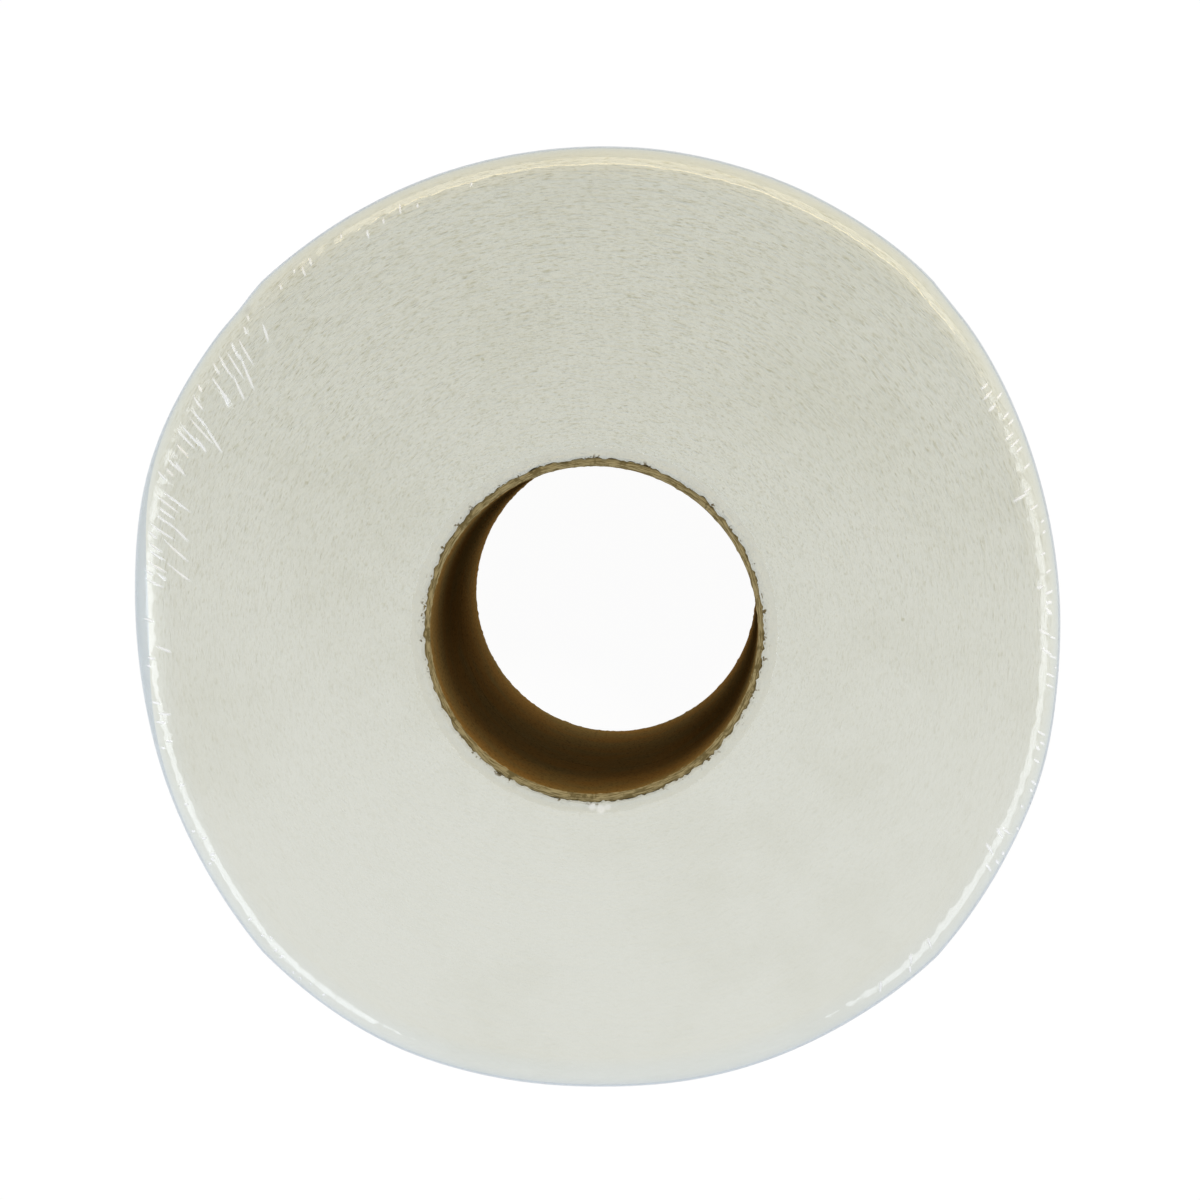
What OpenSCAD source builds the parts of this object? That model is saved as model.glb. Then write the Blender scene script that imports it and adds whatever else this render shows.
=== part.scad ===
// A pack of two jumbo toilet rolls, stacked end to end in one sleeve of clear shrink film.
// The pack stands on its end: +Z runs up the cores, and the origin is the centre of the base.

/* [Rolls] */
// Diameter of a roll, before the film presses its sides in
roll_d = 220.8; // [190:0.1:290]
// Width of the paper, which is the height of one roll
roll_w = 95; // [60:0.5:140]
// How far the film presses in the left and right sides
press_x = 2.9; // [0.1:0.1:5]
// How far the film presses in the front and back sides
press_y = 1.3; // [0.1:0.1:5]
// How far the rounded shoulder reaches in from the side
shoulder_in = 7; // [5:0.5:12]
// How far the rounded shoulder reaches down from the end
shoulder_drop = 9; // [5:0.5:16]

/* [Turns] */
// Distance between the grooves that mark the wound turns on a roll's ends
turn_pitch = 2.8; // [2:0.1:8]
// Width of one groove
turn_groove_w = 1.1; // [0.4:0.1:1.5]
// Depth of one groove
turn_groove_d = 0.35; // [0.1:0.05:1]

/* [Cores] */
// Bore of the cardboard core
core_bore_d = 76; // [38:0.5:90]
// Wall of the cardboard core
core_wall = 2; // [1:0.1:4]
// Clearance between a core and the first turn of paper
core_fit = 0.1; // [0.05:0.05:0.3]
// How far the cores lie off the middle of the rolls, to the right
core_x = -0.6; // [-3:0.1:3]
// How far the cores lie off the middle of the rolls, to the back
core_y = -2.6; // [-4:0.1:4]

/* [Film] */
// Thickness of the shrink film
film_t = 0.2; // [0.1:0.05:0.4]
// Clearance between the film and the side of a roll
film_fit = 0.15; // [0.1:0.05:0.4]
// How far the edge of the film's round opening lies outside the core, at each end
film_lip = 2.5; // [1:0.5:20]
// How far the film draws in where the two rolls meet
waist_in = 1.8; // [0.8:0.1:2]
// Number of gathers round each end of the film
gathers = 48; // [24:4:60]
// Height of the highest gather
gather_h = 1.2; // [0.3:0.1:1.5]
// How far the gathers run over the end, in from the side
gather_run = 22; // [15:1:40]
// How far the puckers of the opening's edge run over the end
hem_run = 6; // [3:0.5:15]

/* [Hidden] */

$fn = 96;
ROLLS = 2;
SHOULDER_STEPS = 4;
// Share of a gather's height half-way along its run, then at each step of the shoulder
GATHER_FADE = [0.55, 0.9, 1, 0.7, 0.3, 0.1];
// The same share at the edge of the film's opening
HEM_GATHER = 0.5;
// Overlap of a cut past the face it opens
CUT = 1;
half_d = roll_d / 2;
core_d = core_bore_d + 2 * core_wall;
film_hole_r = core_d / 2 + film_lip;
// A ring of the film has one point in each valley and one on each ridge, so it takes a whole number
gather_count = round(gathers);
pack_h = ROLLS * roll_w + 2 * film_t;
joint_z = film_t + roll_w;

// Each pressed side is an arc of a wide circle, which meets its neighbours on the diagonals.
// For a side pressed in by p, this gives how far that circle's centre lies across the axis.
function side_shift(p) =
    let (h = half_d - p)
    (half_d * half_d - h * h) / (2 * h - sqrt(2) * half_d);

// The four sides as [direction, radius of the side's circle, shift of its centre]
sides = [
    for (i = [0:3])
        let (p = i % 2 == 0 ? press_x : press_y)
        [90 * i, half_d - p + side_shift(p), side_shift(p)]
];

// Distance from the axis to the side of a roll in direction a, moved in by inset
function reach(a, inset) =
    min([
        for (s = sides)
            -s[2] * cos(a - s[0]) + sqrt(pow(s[1] - inset, 2) - pow(s[2] * sin(a - s[0]), 2))
    ]);

// Step k of the rounded shoulder, from the end (0) to the side: [inset, drop]
function shoulder(k) =
    let (a = 90 * k / SHOULDER_STEPS)
    [shoulder_in * (1 - sin(a)), shoulder_drop * (1 - cos(a))];

// Side view of a round roll, from its axis out to radius r
module roll_section(r) {
    up = [for (k = [0:SHOULDER_STEPS]) [r - shoulder(k)[0], shoulder(k)[1]]];
    down = [for (k = [SHOULDER_STEPS:-1:0]) [r - shoulder(k)[0], roll_w - shoulder(k)[1]]];
    polygon(concat([[0, 0]], up, down, [[0, roll_w]]));
}

// The solid outline of a roll: what the four pressed sides leave of it
module pressed_roll() {
    intersection_for (s = sides)
        rotate(s[0])
            translate([-s[2], 0, 0])
                rotate_extrude()
                    roll_section(s[1]);
}

// One groove between wound turns, as a ring of radius r on the plane z = 0
module turn_groove(r) {
    rotate_extrude()
        polygon([
            [r - turn_groove_w, -turn_groove_d],
            [r, turn_groove_d],
            [r + turn_groove_w, -turn_groove_d],
        ]);
}

// The grooves on both ends of a roll
module turn_grooves() {
    inner_r = core_d / 2 + film_lip;
    outer_r = half_d - max(press_x, press_y) - shoulder_in - norm([core_x, core_y]);
    for (r = [inner_r + turn_pitch / 2:turn_pitch:outer_r - turn_pitch / 2]) {
        turn_groove(r);
        translate([0, 0, roll_w])
            turn_groove(r);
    }
}

// All the turns of one roll, with the lower end on the plane z = 0
module roll_paper() {
    color("#dcdcd0")
        difference() {
            pressed_roll();
            translate([core_x, core_y, 0]) {
                translate([0, 0, -CUT])
                    cylinder(d = core_d + 2 * core_fit, h = roll_w + 2 * CUT);
                turn_grooves();
            }
        }
}

// The cardboard tube that one roll is wound on
module core() {
    color("#8a6d45")
        translate([core_x, core_y, 0])
            difference() {
                cylinder(d = core_d, h = roll_w);
                translate([0, 0, -CUT])
                    cylinder(d = core_bore_d, h = roll_w + 2 * CUT);
            }
}

// How high point i of a gathered ring stands, as a share of the highest gather.
// Even points lie in the valleys, and two slow waves round the pack make the ridges uneven.
function gather_share(i) =
    let (a = 180 * i / gather_count)
    i % 2 == 0 ? 0 : 0.55 + 0.27 * sin(5 * a) + 0.18 * sin(11 * a);

// The rings of the film's upper half, from the edge of its opening out and down to the waist.
// A ring is [about the core?, distance, height, gather, lean]: its distance is a radius about the core,
// or else how far it lies in from the side. gather is the share of the gathers' height there,
// and lean is 0 where they stand up and 90 where they stand outwards.
function film_half(skin, gathered) =
    let (
        end = pack_h - film_t + skin,
        out = film_fit + skin,
        half_run = (gather_run + shoulder_in) / 2,
        hem = gathered
            ? [[true, film_hole_r, end, HEM_GATHER, 0], [true, film_hole_r + hem_run, end, 0, 0]]
            : [[true, film_hole_r, end, 0, 0]],
        runs = gathered
            ? [[false, gather_run, end, 0, 0], [false, half_run, end, GATHER_FADE[0], 0]]
            : [],
        round = [
            for (k = [0:SHOULDER_STEPS])
                [false, shoulder(k)[0] - out, end - shoulder(k)[1], gathered ? GATHER_FADE[k + 1] : 0,
                 90 * k / SHOULDER_STEPS]
        ],
        waist = [
            for (k = [SHOULDER_STEPS, SHOULDER_STEPS - 1])
                [false, shoulder(k)[0] - out, joint_z + shoulder(k)[1], 0, 90]
        ]
    )
    concat(hem, runs, round, waist);

function turned_over(ring) = [ring[0], ring[1], pack_h - ring[2], ring[3], ring[4]];
function backwards(list) = [for (i = [len(list) - 1:-1:0]) list[i]];

// The film's rings in one closed run: out over the top, down the side and in below, then back inside
function film_rings() =
    let (
        outer = film_half(film_t, true),
        inner = film_half(0, false),
        outer_waist = [false, waist_in - film_fit - film_t, joint_z, 0, 90],
        inner_waist = [false, waist_in - film_fit, joint_z, 0, 90]
    )
    concat(
        outer, [outer_waist], backwards([for (r = outer) turned_over(r)]),
        [for (r = inner) turned_over(r)], [inner_waist], backwards(inner)
    );

// Point i of a ring. The gathers stand out from the rolls, and lie flat where the pack stands on them.
function film_point(ring, i) =
    let (
        a = 180 * i / gather_count,
        g = gather_h * ring[3] * gather_share(i),
        r = ring[0] ? ring[1] : reach(a, ring[1]) + g * sin(ring[4]),
        middle = ring[0] ? [core_x, core_y] : [0, 0],
        up = g * cos(ring[4]),
        z = ring[2] > joint_z ? ring[2] + up : max(0, ring[2] - up)
    )
    [middle[0] + r * cos(a), middle[1] + r * sin(a), z];

// The shrink film: one skin round both rolls, gathered over the shoulders, with a round opening at each end
module film_wrap() {
    rings = film_rings();
    n = 2 * gather_count;
    m = len(rings);
    points = [for (ring = rings, i = [0:n - 1]) film_point(ring, i)];
    faces = [
        for (k = [0:m - 1], i = [0:n - 1])
            let (
                a = k * n + i,
                b = k * n + (i + 1) % n,
                c = (k + 1) % m * n + (i + 1) % n,
                d = (k + 1) % m * n + i
            )
            each [[a, b, c], [a, c, d]]
    ];
    color([0.9, 0.93, 0.95, 0.35])
        polyhedron(points = points, faces = faces);
}

// Puts a piece at the place of roll i, counted from the bottom
module place(i) {
    translate([0, 0, film_t + i * roll_w])
        children();
}

film_wrap();
place(1) roll_paper();  // upper_roll_paper
place(1) core();  // upper_core
place(0) roll_paper();  // lower_roll_paper
place(0) core();  // lower_core
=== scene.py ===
import math
import random

import bpy
from mathutils import Matrix, Vector, noise


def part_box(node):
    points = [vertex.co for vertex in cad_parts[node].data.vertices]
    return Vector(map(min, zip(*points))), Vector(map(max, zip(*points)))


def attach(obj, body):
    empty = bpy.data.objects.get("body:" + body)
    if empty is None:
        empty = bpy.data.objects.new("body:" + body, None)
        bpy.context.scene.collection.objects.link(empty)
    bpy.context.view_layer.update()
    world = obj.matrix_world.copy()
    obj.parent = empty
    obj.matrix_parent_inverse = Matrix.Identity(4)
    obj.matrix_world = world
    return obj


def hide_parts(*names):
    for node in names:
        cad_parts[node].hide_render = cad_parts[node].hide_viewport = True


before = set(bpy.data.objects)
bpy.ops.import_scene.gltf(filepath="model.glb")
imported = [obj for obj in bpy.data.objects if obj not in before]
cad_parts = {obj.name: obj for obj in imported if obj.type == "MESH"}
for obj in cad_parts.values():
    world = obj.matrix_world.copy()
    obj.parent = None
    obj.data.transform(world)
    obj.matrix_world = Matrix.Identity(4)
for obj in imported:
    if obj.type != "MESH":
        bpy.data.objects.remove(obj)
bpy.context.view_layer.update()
print("frame loaded")

# Sizes that several pieces share, in metres
pack = {
    "rollRadius": 0.1104,
    "pressSides": 0.0029,  # how far the film presses in the left and right sides
    "pressFront": 0.0013,  # and the front and back sides
    "shoulderIn": 0.007,
    "shoulderDrop": 0.009,
    "shoulderRun": 0.0126,  # along the rounded shoulder, from the side to the flat end
    "coreCentre": Vector((-0.0006, -0.0026, 0)),
    "boreRadius": 0.038,
    "coreRadius": 0.04,
    "coreFit": 0.0001,
    "filmFit": 0.00025,  # from the side of a roll to the film's inner skin
    "filmRise": 0.0002,  # from a roll's flat end to the film's outer skin
    "near": 0.00001,  # points nearer than this are taken as one place
}
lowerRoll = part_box("lower_roll_paper")
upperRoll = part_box("upper_roll_paper")
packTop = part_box("film_wrap")[1].z
jointHeight = upperRoll[0].z

# How the rolls depart from that outline: direction in degrees, rise, half width in degrees
outlineSwells = (
    (70, 0.0004, 24),
    (160, 0.0023, 16),
    (139.5, -0.0003, 2.5),  # the fold at the upper left
    (245, 0.0018, 20),
    (288, 0.0013, 18),
    (319, 0.0014, 22),
    (341, 0.0009, 11),
    (18, -0.0004, 14),
    (43, -0.0004, 4),  # and at the upper right
)
outlineGrow = -0.0002  # how far the whole side stands out from the solids' own

# On the left the paper lies in from the film, which stands off it
paperDents = ((179, -0.0026, 13),)


def deselectAll():
    if bpy.context.object and bpy.context.object.mode != "OBJECT":
        bpy.ops.object.mode_set(mode="OBJECT")
    bpy.ops.object.select_all(action="DESELECT")


def applyModifier(piece, kind, **settings):
    deselectAll()
    bpy.context.view_layer.objects.active = piece
    piece.select_set(True)
    modifier = piece.modifiers.new(kind.title(), kind)
    for name, value in settings.items():
        setattr(modifier, name, value)
    bpy.ops.object.modifier_apply(modifier=modifier.name)


def spinProfile(name, profile, segments):
    # One vertex is drawn out along the profile, which is then spun round the Z axis
    deselectAll()
    start = profile[0]
    bpy.ops.mesh.primitive_plane_add(size=0.001, location=(0, 0, 0))
    piece = bpy.context.object
    piece.name = name
    piece.data.name = name
    bpy.ops.object.mode_set(mode="EDIT")
    bpy.ops.mesh.select_mode(type="VERT")
    bpy.ops.mesh.select_all(action="SELECT")
    bpy.ops.mesh.merge(type="CENTER")
    bpy.ops.transform.translate(value=(start[0], 0, start[1]))
    for near, far in zip(profile, profile[1:]):
        step = (far[0] - near[0], 0, far[1] - near[1])
        bpy.ops.mesh.extrude_region_move(TRANSFORM_OT_translate={"value": step})
    bpy.ops.mesh.select_all(action="SELECT")
    bpy.ops.mesh.spin(steps=segments, angle=2 * math.pi, center=(0, 0, 0), axis=(0, 0, 1))
    bpy.ops.mesh.select_all(action="SELECT")
    bpy.ops.mesh.remove_doubles(threshold=pack["near"] / 2)
    bpy.ops.mesh.normals_make_consistent(inside=False)
    bpy.ops.object.mode_set(mode="OBJECT")
    bpy.ops.object.shade_smooth()
    return piece


def smoothStep(value, low, high):
    share = max(0.0, min(1.0, (value - low) / (high - low)))
    return share * share * (3 - 2 * share)


def degreesApart(first, second):
    return abs((first - second + 180) % 360 - 180)


def sideReach(angle):
    # Distance from the axis to the side of a roll: the nearest of the four pressed sides
    reaches = []
    for index in range(4):
        press = pack["pressSides"] if index % 2 == 0 else pack["pressFront"]
        half = pack["rollRadius"] - press
        shift = (pack["rollRadius"] ** 2 - half**2) / (2 * half - math.sqrt(2) * pack["rollRadius"])
        turned = angle - index * math.pi / 2
        reach = math.sqrt((half + shift) ** 2 - (shift * math.sin(turned)) ** 2)
        reaches.append(reach - shift * math.cos(turned))
    return min(reaches)


def swellRise(angle, swells):
    degrees = math.degrees(angle)
    total = 0.0
    for middle, rise, halfWidth in swells:
        total += rise * math.exp(-((degreesApart(degrees, middle) / halfWidth) ** 2))
    return total


def pressedPlace(angle, radius, ownSwells=()):
    # Where a point of a round, centred roll lies on the real one: inner points follow the core,
    # and outer points follow the pressed sides
    coreEdge = pack["coreRadius"] + pack["coreFit"]
    faceEdge = pack["rollRadius"] - pack["shoulderIn"]
    outward = max(0.0, min(1.0, (radius - coreEdge) / (faceEdge - coreEdge)))
    rise = sideReach(angle) - pack["rollRadius"] + outlineGrow + swellRise(angle, outlineSwells)
    radius = radius + rise * outward**2 + swellRise(angle, ownSwells) * smoothStep(outward, 0.75, 1.0)
    centre = pack["coreCentre"] * (1 - outward)
    return centre.x + radius * math.cos(angle), centre.y + radius * math.sin(angle)


def evenSteps(first, last, count):
    return [first + (last - first) * index / count for index in range(count + 1)]


def shoulderStep(share):
    turn = share * math.pi / 2
    return pack["shoulderIn"] * (1 - math.sin(turn)), pack["shoulderDrop"] * (1 - math.cos(turn))


# Camera


photo = {
    "size": 1200,  # pixels along each side
    "focal": 4690,  # focal length in pixels
    "rimCentre": (594, 630.3),
    "rimRadius": 164,
    "axisVanishes": (742, 370),  # where lines along the cores meet
    "sensor": 36,
}


def addCamera():
    middle = photo["size"] / 2
    across = photo["axisVanishes"][0] - middle
    upward = middle - photo["axisVanishes"][1]
    away = math.sqrt(across**2 + upward**2 + photo["focal"] ** 2)
    right = Vector((math.sqrt(1 - (across / away) ** 2), 0, -across / away))
    upZ = -upward / away
    upX = -upZ * right.z / right.x
    up = Vector((upX, math.sqrt(1 - upX**2 - upZ**2), upZ))
    back = right.cross(up)
    distance = photo["focal"] * pack["boreRadius"] / photo["rimRadius"]
    rimAcross = (photo["rimCentre"][0] - middle) / photo["focal"]
    rimUp = (middle - photo["rimCentre"][1]) / photo["focal"]
    rim = pack["coreCentre"] + Vector((0, 0, upperRoll[1].z))
    place = rim + (back - right * rimAcross - up * rimUp) * distance
    deselectAll()
    bpy.ops.object.camera_add(location=place)
    camera = bpy.context.object
    turned = Matrix((right, up, back)).transposed()
    camera.matrix_world = Matrix.Translation(place) @ turned.to_4x4()
    camera.data.sensor_width = photo["sensor"]
    camera.data.lens = photo["focal"] / photo["size"] * photo["sensor"]
    camera.data.clip_start = 0.05
    bpy.context.scene.camera = camera


addCamera()
print("camera placed")

# Materials


def newMaterial(name):
    material = bpy.data.materials.new(name)
    material.use_nodes = True
    tree = material.node_tree
    tree.nodes.clear()
    output = tree.nodes.new("ShaderNodeOutputMaterial")
    output.location = (900, 0)
    return material, tree, output


def feed(tree, socket, value):
    if isinstance(value, bpy.types.NodeSocket):
        tree.links.new(value, socket)
    else:
        socket.default_value = value


def mathNode(tree, operation, first, second=None, third=None, clamp=False):
    made = tree.nodes.new("ShaderNodeMath")
    made.operation = operation
    made.use_clamp = clamp
    for socket, value in zip(made.inputs, (first, second, third)):
        if value is not None:
            feed(tree, socket, value)
    return made.outputs[0]


def vectorNode(tree, operation, first, second=None, scale=None):
    made = tree.nodes.new("ShaderNodeVectorMath")
    made.operation = operation
    feed(tree, made.inputs[0], first)
    if second is not None:
        feed(tree, made.inputs[1], second)
    if scale is not None:
        feed(tree, made.inputs["Scale"], scale)
    return made.outputs["Value" if operation in ("LENGTH", "DISTANCE", "DOT_PRODUCT") else "Vector"]


def noiseNode(tree, vector, scale, detail=2.0, roughness=0.5):
    made = tree.nodes.new("ShaderNodeTexNoise")
    feed(tree, made.inputs["Vector"], vector)
    made.inputs["Scale"].default_value = scale
    made.inputs["Detail"].default_value = detail
    made.inputs["Roughness"].default_value = roughness
    return made.outputs["Fac"]


def rangeNode(tree, value, low, high, newLow=0.0, newHigh=1.0):
    made = tree.nodes.new("ShaderNodeMapRange")
    made.interpolation_type = "SMOOTHSTEP"
    feed(tree, made.inputs["Value"], value)
    made.inputs["From Min"].default_value = low
    made.inputs["From Max"].default_value = high
    made.inputs["To Min"].default_value = newLow
    made.inputs["To Max"].default_value = newHigh
    return made.outputs["Result"]


def mixColour(tree, factor, first, second):
    made = tree.nodes.new("ShaderNodeMix")
    made.data_type = "RGBA"
    feed(tree, made.inputs[0], factor)
    feed(tree, made.inputs[6], first)
    feed(tree, made.inputs[7], second)
    return made.outputs[2]


def colour(red, green, blue):
    # A colour as a picture shows it, from 0 to 255, as the linear colour of a socket
    def linear(value):
        share = value / 255
        return share / 12.92 if share <= 0.04045 else ((share + 0.055) / 1.055) ** 2.4

    return linear(red), linear(green), linear(blue), 1.0


def makeTurnNoiseGroup():
    # Noise drawn out round the cores, as the wound edges of tissue and board are
    group = bpy.data.node_groups.new("turnNoise", "ShaderNodeTree")
    for name, value in (("Around", 20.0), ("Outward", 2000.0), ("Upward", 0.0), ("Detail", 2.0)):
        socket = group.interface.new_socket(name, in_out="INPUT", socket_type="NodeSocketFloat")
        socket.default_value = value
    group.interface.new_socket("Value", in_out="OUTPUT", socket_type="NodeSocketFloat")
    entry = group.nodes.new("NodeGroupInput")
    leave = group.nodes.new("NodeGroupOutput")
    place = group.nodes.new("ShaderNodeTexCoord").outputs["Object"]
    centred = vectorNode(group, "SUBTRACT", place, pack["coreCentre"])
    flat = vectorNode(group, "MULTIPLY", centred, (1, 1, 0))
    height = vectorNode(group, "DOT_PRODUCT", centred, (0, 0, 1))
    radius = vectorNode(group, "LENGTH", flat)
    outwards = vectorNode(group, "NORMALIZE", flat)
    around = vectorNode(group, "SCALE", outwards, scale=entry.outputs["Around"])
    outward = mathNode(group, "MULTIPLY", radius, entry.outputs["Outward"])
    upward = mathNode(group, "MULTIPLY_ADD", height, entry.outputs["Upward"], outward)
    combined = group.nodes.new("ShaderNodeCombineXYZ")
    group.links.new(upward, combined.inputs["Z"])
    drawn = vectorNode(group, "ADD", around, combined.outputs["Vector"])
    grain = group.nodes.new("ShaderNodeTexNoise")
    group.links.new(drawn, grain.inputs["Vector"])
    group.links.new(entry.outputs["Detail"], grain.inputs["Detail"])
    grain.inputs["Scale"].default_value = 1.0
    group.links.new(grain.outputs["Fac"], leave.inputs["Value"])
    return group


turnNoise = makeTurnNoiseGroup()


def turnNoiseNode(tree, around, outward, upward=0.0, detail=2.0):
    made = tree.nodes.new("ShaderNodeGroup")
    made.node_tree = turnNoise
    made.inputs["Around"].default_value = around
    made.inputs["Outward"].default_value = outward
    made.inputs["Upward"].default_value = upward
    made.inputs["Detail"].default_value = detail
    return made.outputs["Value"]


def coreDistance(tree, place):
    # How far a point is from the middle of the cores, seen along them
    centred = vectorNode(tree, "SUBTRACT", place, pack["coreCentre"])
    flat = vectorNode(tree, "MULTIPLY", centred, (1, 1, 0))
    return vectorNode(tree, "LENGTH", flat)


def bumpNode(tree, height, distance, normal=None):
    made = tree.nodes.new("ShaderNodeBump")
    feed(tree, made.inputs["Height"], height)
    made.inputs["Distance"].default_value = distance
    made.inputs["Strength"].default_value = 1.0
    if normal is not None:
        tree.links.new(normal, made.inputs["Normal"])
    return made.outputs["Normal"]


tissueLook = {
    "paperFront": colour(220, 221, 212),
    "paperBackYellowedShaded": colour(208, 209, 196),  # a little yellowed, and darker as painted shade
    "gap": colour(164, 160, 124),  # between the edges of the turns
    "firstTurnsShaded": colour(211, 212, 202),  # the loose first turns, which the film leaves bare, darkened as painted shade to match the face under the film
    "rimGapShade": colour(104, 90, 56),  # painted shade: dark specks in the gap between the paper and the core's rim
    "dashDepth": 0.00030,
    "crepeDepth": 0.00008,
    "fibreDepth": 0.00006,
    "dashes": {"around": 24.0, "outward": 1500.0, "detail": 2.0},  # edges of the turns on the ends
    "fineDashes": {"around": 60.0, "outward": 3600.0, "detail": 1.0},
    "crepe": {"around": 190.0, "outward": 0.0, "upward": 90.0, "detail": 1.0},  # lines on the side
    "frontToBack": (-0.09, 0.09),
    "coarsenessAndShade": (0.2, 1.7),  # of the dashes, at the front and at the back; it also deepens their painted shade at the back
    "yellowingAndShade": (-0.07, 0.13),  # where the paper starts to turn yellow and darker with painted shade, and where it is fully so
    "gapShare": 0.30,
    "looseRadius": (0.0440, 0.0430),  # where the loose first turns end
    "rimGapShadeRadius": (0.0412, 0.0400),
    "spots": (
        {"place": (-0.0264, 0.0602, 0.190), "radius": 0.0006,
         "share": 0.4, "colour": colour(150, 145, 90)},
        {"place": (-0.0672, 0.0315, 0.190), "radius": 0.0006,
         "share": 0.4, "colour": colour(150, 145, 90)},
        {"place": (0.0709, 0.0, 0.190), "radius": 0.0006,
         "share": 0.4, "colour": colour(150, 145, 90)},
        # painted shade: a grey spot in the fold at the upper left
        {"place": (-0.0800, 0.0706, 0.186), "radius": 0.0026,
         "share": 0.6, "colour": colour(128, 122, 104)},
        {"place": (-0.0010, -0.0436, 0.190), "radius": 0.0012,
         "share": 0.6, "colour": colour(240, 240, 236)},
        {"place": (0.0010, -0.0442, 0.190), "radius": 0.0014,
         "share": 0.7, "colour": colour(240, 240, 236)},
        {"place": (0.0026, -0.0437, 0.190), "radius": 0.0010,
         "share": 0.5, "colour": colour(240, 240, 236)},
    ),
}


def makeTissueMaterial():
    material, tree, output = newMaterial("softTissue")
    place = tree.nodes.new("ShaderNodeTexCoord").outputs["Object"]
    facing = tree.nodes.new("ShaderNodeNewGeometry").outputs["Normal"]
    upward = mathNode(tree, "ABSOLUTE", vectorNode(tree, "DOT_PRODUCT", facing, (0, 0, 1)))
    endFace = rangeNode(tree, upward, 0.35, 0.75)
    dashes = turnNoiseNode(tree, **tissueLook["dashes"])
    fineDashes = turnNoiseNode(tree, **tissueLook["fineDashes"])
    crepe = turnNoiseNode(tree, **tissueLook["crepe"])
    blotches = noiseNode(tree, place, 34.0, 3.0, 0.6)
    frayed = noiseNode(tree, place, 560.0, 2.0, 0.65)
    gaps = rangeNode(tree, dashes, 0.50, 0.72)
    fineGaps = rangeNode(tree, fineDashes, 0.52, 0.75)
    # The wound edges are coarser towards the back, and their gaps carry more painted shade there
    depth = vectorNode(tree, "DOT_PRODUCT", place, (0, 1, 0))
    coarseAndShaded = rangeNode(tree, depth, *tissueLook["frontToBack"], *tissueLook["coarsenessAndShade"])
    coarseAndShaded = mathNode(tree, "MULTIPLY", coarseAndShaded, endFace)
    # painted shade: the paper darkens towards the back, besides its yellowing
    yellowedAndShaded = mathNode(tree, "MULTIPLY_ADD", blotches, 0.05, depth)
    yellowedAndShaded = rangeNode(tree, yellowedAndShaded, *tissueLook["yellowingAndShade"])
    paper = mixColour(tree, yellowedAndShaded, tissueLook["paperFront"], tissueLook["paperBackYellowedShaded"])
    paper = mixColour(tree, rangeNode(tree, blotches, 0.45, 0.75, 0.0, 0.08), paper, tissueLook["gap"])
    # painted shade: the dark gaps between the turns are stronger towards the back
    gapShare = mathNode(tree, "MULTIPLY", mathNode(tree, "MULTIPLY_ADD", gaps, 0.42, fineGaps), coarseAndShaded)
    gapShare = mathNode(tree, "MULTIPLY", gapShare, tissueLook["gapShare"], clamp=True)
    paper = mixColour(tree, gapShare, paper, tissueLook["gap"])
    radius = coreDistance(tree, place)
    ragged = mathNode(tree, "MULTIPLY_ADD", frayed, 0.002, radius)
    # painted shade: the bare first turns are darkened to match the face that the film dims
    loose = rangeNode(tree, ragged, *tissueLook["looseRadius"])
    paper = mixColour(tree, loose, paper, tissueLook["firstTurnsShaded"])
    # painted shade: dark specks where the paper meets the core's rim
    atRim = rangeNode(tree, radius, *tissueLook["rimGapShadeRadius"])
    rimGapShades = mathNode(tree, "MULTIPLY", rangeNode(tree, frayed, 0.60, 0.68), atRim)
    paper = mixColour(tree, rimGapShades, paper, tissueLook["rimGapShade"])
    for spot in tissueLook["spots"]:
        away = vectorNode(tree, "DISTANCE", place, spot["place"])
        near = rangeNode(tree, away, spot["radius"], spot["radius"] * 0.4, 0.0, spot["share"])
        paper = mixColour(tree, near, paper, spot["colour"])
    dashHeight = mathNode(tree, "MULTIPLY_ADD", fineDashes, 0.5, dashes)
    dashHeight = mathNode(tree, "MULTIPLY", dashHeight, coarseAndShaded)
    crepeHeight = mathNode(tree, "MULTIPLY", crepe, mathNode(tree, "SUBTRACT", 1.0, endFace))
    height = mathNode(tree, "MULTIPLY", crepeHeight, tissueLook["crepeDepth"])
    height = mathNode(tree, "MULTIPLY_ADD", dashHeight, tissueLook["dashDepth"], height)
    fibres = noiseNode(tree, place, 2600.0, 1.0)
    height = mathNode(tree, "MULTIPLY_ADD", fibres, tissueLook["fibreDepth"], height)
    shader = tree.nodes.new("ShaderNodeBsdfPrincipled")
    tree.links.new(paper, shader.inputs["Base Color"])
    tree.links.new(bumpNode(tree, height, 1.0), shader.inputs["Normal"])
    tree.links.new(rangeNode(tree, blotches, 0.3, 0.7, 0.86, 0.97), shader.inputs["Roughness"])
    shader.inputs["Specular IOR Level"].default_value = 0.2
    shader.inputs["Sheen Weight"].default_value = 0.15
    shader.inputs["Sheen Roughness"].default_value = 0.6
    tree.links.new(shader.outputs["BSDF"], output.inputs["Surface"])
    return material


boardLook = {
    "wall": colour(122, 100, 57),
    "wallWarm": colour(130, 98, 50),
    "rim": colour(160, 145, 106),
    "rimDark": colour(106, 93, 60),
    "seam": colour(46, 30, 12),
    "seamRise": 0.1872,  # how far the winding seam climbs in one turn round the bore
    "seamStart": 0.072,  # its height at the left of the bore
    "seamWidth": 0.0005,
    "seamDepth": 0.0003,
    "grain": {"around": 60.0, "outward": 900.0, "upward": 420.0, "detail": 2.0},
    "grainDepth": 0.00012,
    "plies": {"around": 14.0, "outward": 6500.0, "detail": 2.0},  # on the cut rim
}


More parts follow.
